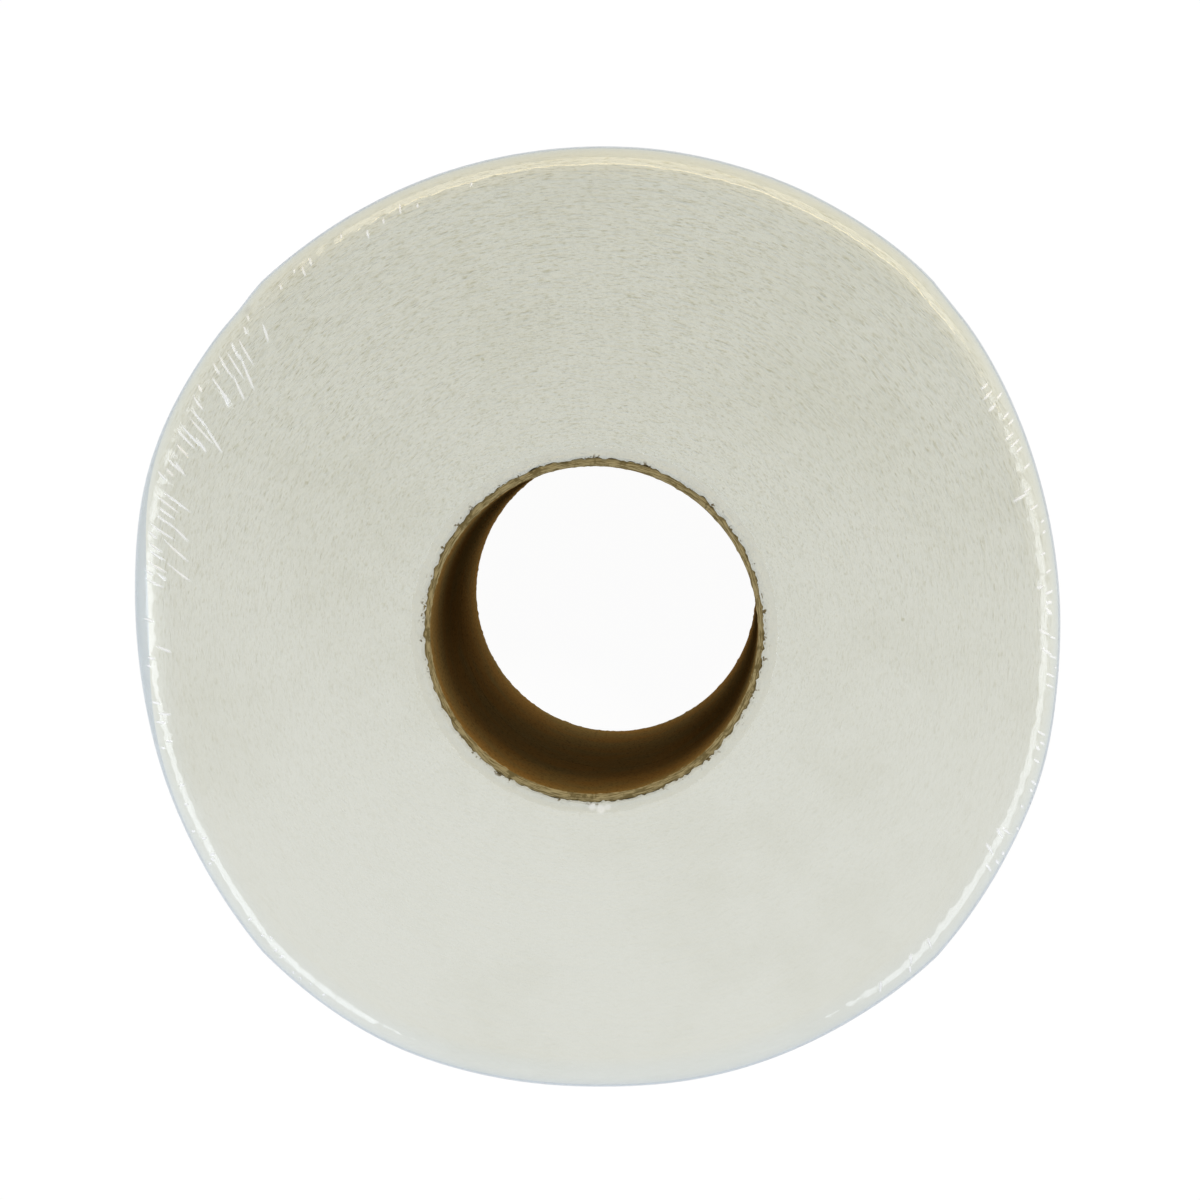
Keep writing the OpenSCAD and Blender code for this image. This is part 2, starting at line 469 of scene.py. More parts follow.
def makeBoardMaterial():
    material, tree, output = newMaterial("woundBoard")
    place = tree.nodes.new("ShaderNodeTexCoord").outputs["Object"]
    centred = vectorNode(tree, "SUBTRACT", place, pack["coreCentre"])
    parts = tree.nodes.new("ShaderNodeSeparateXYZ")
    tree.links.new(centred, parts.inputs["Vector"])
    grain = turnNoiseNode(tree, **boardLook["grain"])
    plies = turnNoiseNode(tree, **boardLook["plies"])
    blotches = noiseNode(tree, place, 48.0, 2.0, 0.6)
    warm = rangeNode(tree, blotches, 0.35, 0.65)
    board = mixColour(tree, warm, boardLook["wall"], boardLook["wallWarm"])
    board = mixColour(tree, rangeNode(tree, grain, 0.45, 0.75, 0.0, 0.35), board, boardLook["seam"])
    # The winding seam climbs round the bore
    turn = mathNode(tree, "ARCTAN2", parts.outputs["Y"], parts.outputs["X"])
    turn = mathNode(tree, "DIVIDE", turn, 2 * math.pi)
    climbed = mathNode(tree, "SUBTRACT", parts.outputs["Z"], boardLook["seamStart"])
    climbed = mathNode(tree, "DIVIDE", climbed, boardLook["seamRise"])
    phase = mathNode(tree, "ADD", mathNode(tree, "SUBTRACT", turn, climbed), 1.0)
    phase = mathNode(tree, "FRACT", phase)
    fromSeam = mathNode(tree, "ABSOLUTE", mathNode(tree, "SUBTRACT", phase, 0.5))
    seamHalf = boardLook["seamWidth"] / boardLook["seamRise"]
    seam = rangeNode(tree, fromSeam, seamHalf, seamHalf * 0.3)
    shown = rangeNode(tree, blotches, 0.35, 0.6, 0.15, 0.65)
    board = mixColour(tree, mathNode(tree, "MULTIPLY", seam, shown), board, boardLook["seam"])
    # The cut rim is paler and shows the plies
    facing = tree.nodes.new("ShaderNodeNewGeometry").outputs["Normal"]
    upward = mathNode(tree, "ABSOLUTE", vectorNode(tree, "DOT_PRODUCT", facing, (0, 0, 1)))
    dirt = noiseNode(tree, place, 330.0, 3.0, 0.65)
    rim = mixColour(tree, rangeNode(tree, plies, 0.42, 0.62), boardLook["rim"], boardLook["rimDark"])
    rim = mixColour(tree, rangeNode(tree, dirt, 0.52, 0.66), rim, boardLook["rimDark"])
    board = mixColour(tree, rangeNode(tree, upward, 0.3, 0.6), board, rim)
    bump = bumpNode(tree, grain, boardLook["grainDepth"])
    bump = bumpNode(tree, mathNode(tree, "SUBTRACT", 1.0, seam), boardLook["seamDepth"], bump)
    shader = tree.nodes.new("ShaderNodeBsdfPrincipled")
    tree.links.new(board, shader.inputs["Base Color"])
    tree.links.new(bump, shader.inputs["Normal"])
    tree.links.new(rangeNode(tree, grain, 0.3, 0.7, 0.62, 0.82), shader.inputs["Roughness"])
    shader.inputs["Specular IOR Level"].default_value = 0.0
    tree.links.new(shader.outputs["BSDF"], output.inputs["Surface"])
    return material


filmLook = {
    "skin": (0.93, 0.96, 1.0, 1.0),
    # painted highlight: the milky white of the creases, also standing in for the lamps' glints on them
    "creaseWhiteAndGlint": (0.97, 0.98, 1.0, 1.0),
    "edgeTint": (0.62, 0.68, 0.74, 1.0),  # looking along the film
    "clear": (0.995, 0.998, 1.0, 1.0),
    "mirror": 0.04,  # what each skin mirrors when seen straight on
    "sideMirror": 0.8,  # and what comes to that when it is seen edge-on
    "milkinessAndGlint": 0.45,
    "roughness": 0.09,
    "fineStreaks": {"Count": 300.0, "Seed": 3.0, "Width": 0.15, "Wedge": 0.07},
    "wideStreaks": {"Count": 150.0, "Seed": 40.0, "Width": 0.04, "Wedge": 0.15},
    "sideways": 0.45,  # how far a streak may lie off the middle of its cell, as a share of the cell
    "startSpread": 0.003,  # how much the streaks' starts differ
    "shortest": 0.4,  # length of the shortest streak, as a share of its zone's length
    "lengthSpread": 0.9,  # and how much longer the longest is
    "streakDepth": 0.00014,
    "wrinklePitch": 0.0021,
    "wrinkleLength": 0.011,
    "wrinkleDepth": 0.0006,
    "rippleDepth": 0.00025,
}


def makeStreakGroup():
    # Creases side by side round the shoulder. The direction is cut into cells that hold one crease each,
    # with its own start, length and shift, and each grows wider towards its inner end.
    # The film material bumps these creases and whitens them, partly as painted highlights
    group = bpy.data.node_groups.new("filmStreaks", "ShaderNodeTree")
    group.interface.new_socket("Place", in_out="INPUT", socket_type="NodeSocketVector")
    for name, value in (
        ("Lean", 0.0),
        ("Count", 280.0),
        ("Seed", 0.0),
        ("Start", 0.008),
        ("Length", 0.008),
        ("Width", 0.2),
        ("Wedge", 0.1),
        ("Share", 1.0),
    ):
        socket = group.interface.new_socket(name, in_out="INPUT", socket_type="NodeSocketFloat")
        socket.default_value = value
    group.interface.new_socket("Value", in_out="OUTPUT", socket_type="NodeSocketFloat")
    entry = group.nodes.new("NodeGroupInput")
    leave = group.nodes.new("NodeGroupOutput")
    parts = group.nodes.new("ShaderNodeSeparateXYZ")
    group.links.new(entry.outputs["Place"], parts.inputs["Vector"])
    run = parts.outputs["Z"]
    leant = mathNode(group, "SUBTRACT", run, pack["shoulderRun"])
    leant = mathNode(group, "MULTIPLY", leant, entry.outputs["Lean"])
    direction = mathNode(group, "ARCTAN2", parts.outputs["Y"], parts.outputs["X"])
    direction = mathNode(group, "DIVIDE", mathNode(group, "SUBTRACT", direction, leant), 2 * math.pi)
    along = mathNode(group, "MULTIPLY", direction, entry.outputs["Count"])
    cell = mathNode(group, "FLOOR", along)
    draw = group.nodes.new("ShaderNodeTexWhiteNoise")
    draw.noise_dimensions = "1D"
    group.links.new(mathNode(group, "ADD", cell, entry.outputs["Seed"]), draw.inputs["W"])
    drawn = group.nodes.new("ShaderNodeSeparateXYZ")
    group.links.new(draw.outputs["Color"], drawn.inputs["Vector"])
    across = mathNode(group, "SUBTRACT", mathNode(group, "FRACT", along), 0.5)
    moved = mathNode(group, "SUBTRACT", drawn.outputs["X"], 0.5)
    across = mathNode(group, "MULTIPLY_ADD", moved, filmLook["sideways"], across)
    across = mathNode(group, "ABSOLUTE", across)
    start = mathNode(group, "SUBTRACT", drawn.outputs["Y"], 0.5)
    start = mathNode(group, "MULTIPLY_ADD", start, filmLook["startSpread"], entry.outputs["Start"])
    spread = filmLook["lengthSpread"]
    length = mathNode(group, "MULTIPLY_ADD", drawn.outputs["Z"], spread, filmLook["shortest"])
    length = mathNode(group, "MULTIPLY", length, entry.outputs["Length"])
    way = mathNode(group, "DIVIDE", mathNode(group, "SUBTRACT", run, start), length)
    half = mathNode(group, "MULTIPLY_ADD", way, entry.outputs["Wedge"], entry.outputs["Width"])
    inside = mathNode(group, "SUBTRACT", 1.0, mathNode(group, "DIVIDE", across, half), clamp=True)
    risen = rangeNode(group, way, 0.0, 0.45)
    fallen = rangeNode(group, way, 1.0, 0.6)
    lengthwise = mathNode(group, "MULTIPLY", risen, fallen)
    present = mathNode(group, "LESS_THAN", draw.outputs["Value"], entry.outputs["Share"])
    shape = mathNode(group, "MULTIPLY", mathNode(group, "MULTIPLY", inside, lengthwise), present)
    group.links.new(shape, leave.inputs["Value"])
    return group


filmStreaks = makeStreakGroup()


def streakNode(tree, place, lean, settings, start, length, share):
    made = tree.nodes.new("ShaderNodeGroup")
    made.node_tree = filmStreaks
    for name, value in settings.items():
        made.inputs[name].default_value = value
    fed = {"Place": place, "Lean": lean, "Start": start, "Length": length, "Share": share}
    for name, value in fed.items():
        feed(tree, made.inputs[name], value)
    return made.outputs["Value"]


def finishFilm(tree, output, bump=None, whitenedAndGlint=None):
    # A thin clear skin that mirrors more as it is seen more edge-on, and turns milky where it is
    # creased, partly as a painted highlight on the creases
    edgeOn = tree.nodes.new("ShaderNodeLayerWeight")
    edgeOn.inputs["Blend"].default_value = 0.5
    shader = tree.nodes.new("ShaderNodeBsdfPrincipled")
    facing = edgeOn.outputs["Facing"]
    mirror = mathNode(tree, "POWER", facing, 5.0)
    mirror = mathNode(tree, "MULTIPLY_ADD", mirror, filmLook["sideMirror"], filmLook["mirror"])
    shader.inputs["Base Color"].default_value = filmLook["skin"]
    shader.inputs["Metallic"].default_value = 1.0
    shader.inputs["Roughness"].default_value = filmLook["roughness"]
    if bump:
        tree.links.new(bump, edgeOn.inputs["Normal"])
        tree.links.new(bump, shader.inputs["Normal"])
    # painted highlight: the creases turn milky white, besides mirroring the lamps
    if whitenedAndGlint:
        mirror = mathNode(tree, "MULTIPLY_ADD", whitenedAndGlint, filmLook["milkinessAndGlint"], mirror, clamp=True)
        skin = mixColour(tree, whitenedAndGlint, filmLook["skin"], filmLook["creaseWhiteAndGlint"])
        tree.links.new(skin, shader.inputs["Base Color"])
        tree.links.new(rangeNode(tree, whitenedAndGlint, 0.0, 0.6, 1.0, 0.0), shader.inputs["Metallic"])
        rough = rangeNode(tree, whitenedAndGlint, 0.0, 1.0, filmLook["roughness"], 0.25)
        tree.links.new(rough, shader.inputs["Roughness"])
    clear = tree.nodes.new("ShaderNodeBsdfTransparent")
    tint = mixColour(tree, mathNode(tree, "POWER", facing, 3.0), filmLook["clear"], filmLook["edgeTint"])
    tree.links.new(tint, clear.inputs["Color"])
    mix = tree.nodes.new("ShaderNodeMixShader")
    tree.links.new(mirror, mix.inputs["Fac"])
    tree.links.new(clear.outputs["BSDF"], mix.inputs[1])
    tree.links.new(shader.outputs["BSDF"], mix.inputs[2])
    tree.links.new(mix.outputs["Shader"], output.inputs["Surface"])


def makeFlatFilmMaterial():
    # The film over the middle of the ends, which is stretched flat
    material, tree, output = newMaterial("flatFilm")
    finishFilm(tree, output)
    return material


def makeGatheredFilmMaterial():
    material, tree, output = newMaterial("gatheredFilm")
    place = tree.nodes.new("ShaderNodeTexCoord").outputs["Object"]
    # Where a point is on the film and how it is gathered there, from the piece's own attributes
    gathered = {}
    for name in ("filmPlace", "gatherShape", "gatherShare"):
        read = tree.nodes.new("ShaderNodeAttribute")
        read.attribute_name = name
        split = tree.nodes.new("ShaderNodeSeparateXYZ")
        tree.links.new(read.outputs["Vector"], split.inputs["Vector"])
        gathered[name] = read.outputs["Vector"]
        gathered[name + "Parts"] = split.outputs
    lean, start, length = gathered["gatherShapeParts"]
    fineShare, wideShare, ruffled = gathered["gatherShareParts"]
    onFilm = gathered["filmPlace"]
    fine = streakNode(tree, onFilm, lean, filmLook["fineStreaks"], start, length, fineShare)
    wideLean = mathNode(tree, "MULTIPLY_ADD", lean, 1.4, 1.0)
    wideStart = mathNode(tree, "MULTIPLY_ADD", length, 0.5, start)
    wideLength = mathNode(tree, "MULTIPLY", length, 1.1)
    wide = streakNode(tree, onFilm, wideLean, filmLook["wideStreaks"], wideStart, wideLength, wideShare)
    creaseWhiteAndGlint = mathNode(tree, "MAXIMUM", fine, wide)
    pitch = pack["rollRadius"] / filmLook["wrinklePitch"]
    drawn = vectorNode(tree, "MULTIPLY", onFilm, (pitch, pitch, 1 / filmLook["wrinkleLength"]))
    wrinkles = mathNode(tree, "MULTIPLY", noiseNode(tree, drawn, 1.0, 1.0), ruffled)
    height = mathNode(tree, "MULTIPLY", creaseWhiteAndGlint, filmLook["streakDepth"])
    height = mathNode(tree, "MULTIPLY_ADD", wrinkles, filmLook["wrinkleDepth"], height)
    ripples = noiseNode(tree, place, 38.0, 1.0)
    height = mathNode(tree, "MULTIPLY_ADD", ripples, filmLook["rippleDepth"], height)
    # painted highlight: the creases are whitened, partly for their own milkiness
    whitenedAndGlint = rangeNode(tree, creaseWhiteAndGlint, 0.1, 0.7)
    finishFilm(tree, output, bumpNode(tree, height, 1.0), whitenedAndGlint)
    return material


tissueMaterial = makeTissueMaterial()
boardMaterial = makeBoardMaterial()
flatFilmMaterial = makeFlatFilmMaterial()
gatheredFilmMaterial = makeGatheredFilmMaterial()
print("materials made")


def dress(piece, material, slot, *nodes):
    if material:
        piece.data.materials.clear()
        piece.data.materials.append(material)
    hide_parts(*nodes)
    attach(piece, "root")


def copyPiece(piece, name, change):
    copied = piece.copy()
    copied.data = piece.data.copy()
    copied.name = name
    copied.data.name = name
    copied.data.transform(change)
    bpy.context.scene.collection.objects.link(copied)
    return copied


# Paper

paperSizes = {
    "segments": 360,
    "faceRings": 88,
    "shoulderRings": 8,
    "turnPitch": 0.0028,
    "turnDepth": 0.00004,
    "edgeUneven": 0.00008,  # how far the turns' edges stand in, at most
    "fluffReach": 0.0042,  # width of the loose first turns round the core
    "fluffDepth": 0.0006,
    "overhang": 0.0009,  # how far they lie over the core's rim, at most
    "overhangRise": 0.00012,
}


def paperProfile():
    bottom = upperRoll[0].z
    top = upperRoll[1].z
    bore = pack["coreRadius"] + pack["coreFit"]
    faceEdge = pack["rollRadius"] - pack["shoulderIn"]
    shoulders = [shoulderStep(share) for share in evenSteps(0, 1, paperSizes["shoulderRings"])[1:]]
    upperEnd = [(radius, top) for radius in evenSteps(bore, faceEdge, paperSizes["faceRings"])]
    upperEnd += [(pack["rollRadius"] - across, top - down) for across, down in shoulders]
    lowerEnd = [(radius, top - height + bottom) for radius, height in reversed(upperEnd)]
    wall = [(bore, height) for height in evenSteps(bottom, top, 6)[1:]]
    heights = evenSteps(upperEnd[-1][1], lowerEnd[0][1], 7)[1:-1]
    side = [(pack["rollRadius"], height) for height in heights]
    return upperEnd + side + lowerEnd + wall


def sculptPaper(piece):
    top = upperRoll[1].z
    bottom = upperRoll[0].z
    bore = pack["coreRadius"] + pack["coreFit"]
    faceEdge = pack["rollRadius"] - pack["shoulderIn"]
    for vertex in piece.data.vertices:
        x, y, z = vertex.co
        radius = math.hypot(x, y)
        angle = math.atan2(y, x)
        end = 1 if z > top - pack["near"] else -1 if z < bottom + pack["near"] else 0
        if end and radius > bore + pack["near"]:
            around = Vector((math.cos(angle), math.sin(angle), 0))
            turn = (radius - bore) / paperSizes["turnPitch"]
            groove = 0.5 + 0.5 * math.cos(2 * math.pi * turn)
            uneven = noise.noise(around * 7 + Vector((0, 0, radius * 900 + end * 5)))
            fade = smoothStep(radius, faceEdge + 0.0005, faceEdge - 0.002)
            varied = 0.6 + 0.4 * noise.noise(around * 3 + Vector((0, 0, turn)))
            sunk = paperSizes["turnDepth"] * groove * varied
            sunk += paperSizes["edgeUneven"] * (0.5 - 0.5 * uneven)
            loose = 1 - smoothStep(radius, bore, bore + paperSizes["fluffReach"])
            ragged = noise.noise(around * 30 + Vector((0, 0, radius * 1500)))
            sunk += paperSizes["fluffDepth"] * loose * (0.5 - 0.5 * ragged)
            z -= end * max(0.0, sunk) * fade
        elif end:
            around = Vector((math.cos(angle), math.sin(angle), 0))
            frayed = noise.noise(around * 24 + Vector((0, 0, end))) + 0.6 * noise.noise(around * 70)
            frayed = 0.5 + 0.3 * math.cos(2 * angle) + 0.7 * frayed
            radius -= paperSizes["overhang"] * max(0.0, min(1.0, frayed))
            z += end * paperSizes["overhangRise"]
        x, y = pressedPlace(angle, radius, paperDents)
        vertex.co = (x, y, z)
    piece.data.update()


upperPaper = spinProfile("upper_roll_tissue", paperProfile(), paperSizes["segments"])
sculptPaper(upperPaper)
down = Matrix.Translation((0, 0, lowerRoll[0].z - upperRoll[0].z))
lowerPaper = copyPiece(upperPaper, "lower_roll_tissue", down)
dress(upperPaper, tissueMaterial, "tissue", "upper_roll_paper")
dress(lowerPaper, tissueMaterial, "tissue", "lower_roll_paper")
print("paper made")

# Cores

coreSizes = {
    "segments": 320,
    "rimRound": 0.0004,
    "ragged": 0.0006,
    "tornReach": 0.001,
    "frayOut": 0.0003,
    "buttEdge": 0.0002,  # how near to the butted end the last ring lies, to keep its corner crisp
}


def coreProfile():
    bottom = upperRoll[0].z
    top = upperRoll[1].z
    inner = pack["boreRadius"]
    outer = pack["coreRadius"]
    edge = coreSizes["rimRound"]
    topRim = [
        (inner, top - edge),
        (inner + edge / 2, top),
        ((inner + outer) / 2, top),
        (outer - edge / 2, top),
        (outer, top - edge),
    ]
    lastRing = bottom + coreSizes["buttEdge"]
    outside = [(outer, height) for height in evenSteps(top - edge, lastRing, 8)[1:]]
    inside = [(inner, height) for height in evenSteps(lastRing, top - edge, 12)]
    outside.append((outer, bottom))
    inside.insert(0, (inner, bottom))
    return topRim + outside + inside


def sculptCore(piece):
    # The open end's rim is torn a little; the other end butts against the next core
    top = upperRoll[1].z
    for vertex in piece.data.vertices:
        x, y, z = vertex.co
        radius = math.hypot(x, y)
        around = Vector((x, y, 0)) / radius
        if top - z < coreSizes["tornReach"]:
            torn = noise.noise(around * 26 + Vector((0, 0, radius * 300)))
            z -= coreSizes["ragged"] * max(0.0, torn)
            radius -= coreSizes["frayOut"] * max(0.0, noise.noise(around * 40))
        vertex.co = pack["coreCentre"] + around * radius + Vector((0, 0, z))
    piece.data.update()


upperCore = spinProfile("upper_core_tube", coreProfile(), coreSizes["segments"])
sculptCore(upperCore)
joint = pack["coreCentre"] + Vector((0, 0, jointHeight))
turnedOver = Matrix.Translation(joint) @ Matrix.Rotation(math.pi, 4, "X") @ Matrix.Translation(-joint)
lowerCore = copyPiece(upperCore, "lower_core_tube", turnedOver)
dress(upperCore, boardMaterial, "cardboard", "upper_core")
dress(lowerCore, boardMaterial, "cardboard", "lower_core")
print("cores made")

# Film

filmSizes = {
    "segments": 800,
    "thickness": 0.0001,
    "hemRadius": 0.0425,
    "hemUneven": 0.0004,
    "unevenReach": 0.004,
    "hemPucker": 0.00004,
    "puckerReach": 0.006,
    "gatherRun": 0.024,  # how far the gathers run over the end
    "gatherMargin": 0.006,  # how much further in the gathered finish starts
    "upperRings": {
        "hemSteps": (0, 0.0001, 0.0008, 0.002, 0.0045),
        "faceSteps": 6,
        "gatherSteps": 10,
        "shoulderSteps": 8,
    },
    "lowerRings": {"hemSteps": (0, 0.002), "faceSteps": 2, "gatherSteps": 5, "shoulderSteps": 6},
    "waistIn": 0.0016,
    # rings of the waist: height over the joint, and share of the way in
    "waistRings": ((0.0056, 0.2), (0.0025, 0.65), (0.0, 1.0), (-0.0025, 0.65), (-0.0056, 0.2)),
    "waveHeight": 0.0003,
    "ridgeSeeds": (11, 23),  # for the upper and the lower end
    "ridgeFrom": (0.007, 0.010),
    "ridgeWidth": (0.0026, 0.0044),
    "ridgeSpacing": 2.6,  # in degrees
}

# How the film is gathered, by direction in degrees. Streaks lean by an angle and start so far along the
# film from the top of the side. Fine and wide are the shares of the cells that hold a streak.
# painted highlight: the streaks in these zones are whitened
gatherZones = (
    {"from": 139, "to": 176, "lean": 22, "start": 0.0080, "length": 0.0085,
     "fine": 0.75, "wide": 0.40, "ridge": 0.0006},
    {"from": 176, "to": 200, "lean": 14, "start": 0.0070, "length": 0.0042,
     "fine": 0.50, "wide": 0.12, "ridge": 0.0005},
    {"from": 200, "to": 238, "lean": 10, "start": 0.0072, "length": 0.0018,
     "fine": 0.60, "wide": 0.04, "ridge": 0.0003},
    {"from": 238, "to": 300, "lean": 0, "start": 0.0080, "length": 0.0015,
     "fine": 0.0, "wide": 0.0, "ridge": 0.0001},
    {"from": 300, "to": 328, "lean": 20, "start": 0.0060, "length": 0.0040,
     "fine": 0.15, "wide": 0.15, "ridge": 0.0003},
    {"from": 328, "to": 362, "lean": 12, "start": 0.0040, "length": 0.0040,
     "fine": 0.50, "wide": 0.30, "ridge": 0.0005},
    {"from": 2, "to": 32, "lean": -14, "start": 0.0060, "length": 0.0045,
     "fine": 0.60, "wide": 0.25, "ridge": 0.0004},
    {"from": 32, "to": 104, "lean": 0, "start": 0.0080, "length": 0.0015,
     "fine": 0.0, "wide": 0.0, "ridge": 0.0002},
    {"from": 104, "to": 139, "lean": 16, "start": 0.0090, "length": 0.0032,
     "fine": 0.30, "wide": 0.10, "ridge": 0.0003},
)


def zoneValue(degrees, name):
    # A zone's value, which passes into the next one's over a few degrees
    total = 0.0
    weight = 0.0
    for zone in gatherZones:
        half = (zone["to"] - zone["from"]) / 2
        near = 1 - smoothStep(degreesApart(degrees, zone["from"] + half), half - 3, half + 3)
        total += near * zone[name]
        weight += near
    return total / max(weight, 1e-6)


def makeRidges(seed):
    draw = random.Random(seed)
    byDegree = {}
    degrees = 0.0
    while degrees < 360:
        ridge = {
            "angle": math.radians(degrees),
            "from": draw.uniform(*filmSizes["ridgeFrom"]),
            "length": zoneValue(degrees, "length") * draw.uniform(0.9, 1.8),
            "lean": math.tan(math.radians(zoneValue(degrees, "lean") * draw.uniform(0.6, 1.4))),
            "width": draw.uniform(*filmSizes["ridgeWidth"]),
            "height": zoneValue(degrees, "ridge") * draw.uniform(0.5, 1.5),
        }
        for degree in range(round(degrees) - 8, round(degrees) + 9):
            byDegree.setdefault(degree % 360, []).append(ridge)
        degrees += filmSizes["ridgeSpacing"] * draw.uniform(0.6, 1.4)
    return byDegree


def ridgeHeight(ridges, angle, run):
    total = 0.0
    for ridge in ridges.get(round(math.degrees(angle)) % 360, ()):
        along = (run - ridge["from"]) / ridge["length"]
        if not 0 < along < 1:
            continue
        centre = ridge["angle"] + ridge["lean"] * (run - pack["shoulderRun"]) / pack["rollRadius"]
        apart = math.remainder(angle - centre, 2 * math.pi) * pack["rollRadius"]
        across = abs(apart) / (ridge["width"] / 2)
        if across < 1:
            total = max(total, ridge["height"] * (1 - across**2) ** 2 * math.sin(math.pi * along))
    return total


def filmProfile():
    out = pack["filmFit"] + filmSizes["thickness"]
    top = upperRoll[1].z + pack["filmRise"]
    bottom = 0.0
    faceEdge = pack["rollRadius"] - pack["shoulderIn"]
    gathersFrom = pack["rollRadius"] - filmSizes["gatherRun"]
    hem = filmSizes["hemRadius"]

    def end(height, sign, hemSteps, faceSteps, gatherSteps, shoulderSteps):
        radii = [hem + step for step in hemSteps]
        radii += evenSteps(radii[-1], gathersFrom, faceSteps)[1:]
        radii += evenSteps(gathersFrom, faceEdge + out, gatherSteps)[1:]
        points = [(radius, height) for radius in radii]
        for share in evenSteps(0, 1, shoulderSteps)[1:]:
            across, down = shoulderStep(share)
            points.append((pack["rollRadius"] + out - across, height - sign * down))
        return points

    upperEnd = end(top, 1, **filmSizes["upperRings"])
    lowerEnd = end(bottom, -1, **filmSizes["lowerRings"])
    side = []
    waist = filmSizes["waistIn"]
    upperSide = evenSteps(upperEnd[-1][1], jointHeight + pack["shoulderDrop"], 4)[1:]
    side += [(pack["rollRadius"] + out, height) for height in upperSide]
    for above, inward in filmSizes["waistRings"]:
        side.append((pack["rollRadius"] + out - inward * waist, jointHeight + above))
    lowerSide = evenSteps(jointHeight - pack["shoulderDrop"], lowerEnd[-1][1], 5)[:-1]
    side += [(pack["rollRadius"] + out, height) for height in lowerSide]
    return upperEnd + side + list(reversed(lowerEnd))


def addAttribute(piece, name, values):
    attribute = piece.data.attributes.new(name, "FLOAT_VECTOR", "POINT")
    attribute.data.foreach_set("vector", values)


def sculptFilm(piece):
    upperSeed, lowerSeed = filmSizes["ridgeSeeds"]
    ridges = {1: makeRidges(upperSeed), -1: makeRidges(lowerSeed)}
    out = pack["filmFit"] + filmSizes["thickness"]
    outer = pack["rollRadius"] + out
    top = upperRoll[1].z + pack["filmRise"]
    places = []
    shapes = []
    shares = []
    for vertex in piece.data.vertices:
        x, y, z = vertex.co
        radius = math.hypot(x, y)
        angle = math.atan2(y, x)
        degrees = math.degrees(angle) % 360
        around = Vector((math.cos(angle), math.sin(angle), 0))
        end = 1 if z > jointHeight else -1
        fromEnd = top - z if end == 1 else z
        inset = outer - radius
        # How far along the film a point is from the top of the side, and how the film leans there
        if fromEnd >= pack["shoulderDrop"]:
            run = pack["shoulderDrop"] - fromEnd
            lean = math.pi / 2
        else:
            lean = math.asin(max(0.0, min(1.0, 1 - inset / pack["shoulderIn"])))
            run = pack["shoulderRun"] * (1 - lean / (math.pi / 2)) + max(0.0, inset - pack["shoulderIn"])
        lift = ridgeHeight(ridges[end], angle, run)
        wave = noise.noise(around * 4 + Vector((0, 0, radius * 45 + end * 9)))
        lift += filmSizes["waveHeight"] * (0.5 + 0.5 * wave) * smoothStep(run, -0.03, 0.012)
        fromHem = radius - filmSizes["hemRadius"]
        if lean == 0 and fromHem < filmSizes["puckerReach"]:
            pucker = 0.5 + 0.5 * noise.noise(around * 22 + Vector((0, 0, end * 4)))
            pucker *= 1 - smoothStep(fromHem, 0.0, filmSizes["puckerReach"])
            lift += filmSizes["hemPucker"] * pucker
            uneven = noise.noise(around * 9 + Vector((0, 0, end))) + 0.5 * noise.noise(around * 31)
            uneven *= 1 - smoothStep(fromHem, 0.0, filmSizes["unevenReach"])
            radius += filmSizes["hemUneven"] * uneven
        x, y = pressedPlace(angle, radius + lift * math.sin(lean))
        z += end * lift * math.cos(lean)
        vertex.co = (x, y, max(0.0, z))
        places += (math.cos(angle), math.sin(angle), run)
        slant = math.tan(math.radians(zoneValue(degrees, "lean"))) / pack["rollRadius"]
        shapes += (slant, zoneValue(degrees, "start"), zoneValue(degrees, "length"))
        patch = smoothStep(noise.noise(around * 6 + Vector((0, 0, run * 80 + end * 3))), -0.25, 0.25)
        reach = smoothStep(run, 0.034, 0.016) * smoothStep(run, 0.0, 0.009)
        fine = zoneValue(degrees, "fine")
        shares += (fine, zoneValue(degrees, "wide"), fine * reach * (0.35 + 0.65 * patch))
    addAttribute(piece, "filmPlace", places)
    addAttribute(piece, "gatherShape", shapes)
    addAttribute(piece, "gatherShare", shares)
    gatheredFrom = pack["rollRadius"] - filmSizes["gatherRun"] - filmSizes["gatherMargin"]
    piece.data.materials.append(flatFilmMaterial)
    piece.data.materials.append(gatheredFilmMaterial)
    for face in piece.data.polygons:
        middle = face.center
        face.material_index = 1 if math.hypot(middle.x, middle.y) > gatheredFrom else 0
    piece.data.update()


filmSkin = spinProfile("film_skin", filmProfile(), filmSizes["segments"])
sculptFilm(filmSkin)
applyModifier(filmSkin, "SOLIDIFY", thickness=filmSizes["thickness"], offset=-1)
deselectAll()
dress(filmSkin, None, "film", "film_wrap")
filmSkin.visible_shadow = False  # so thin a film lets the lamps through
filmSkin.visible_diffuse = False  # and the light from all round
print("film made")

# Floor, lights and world

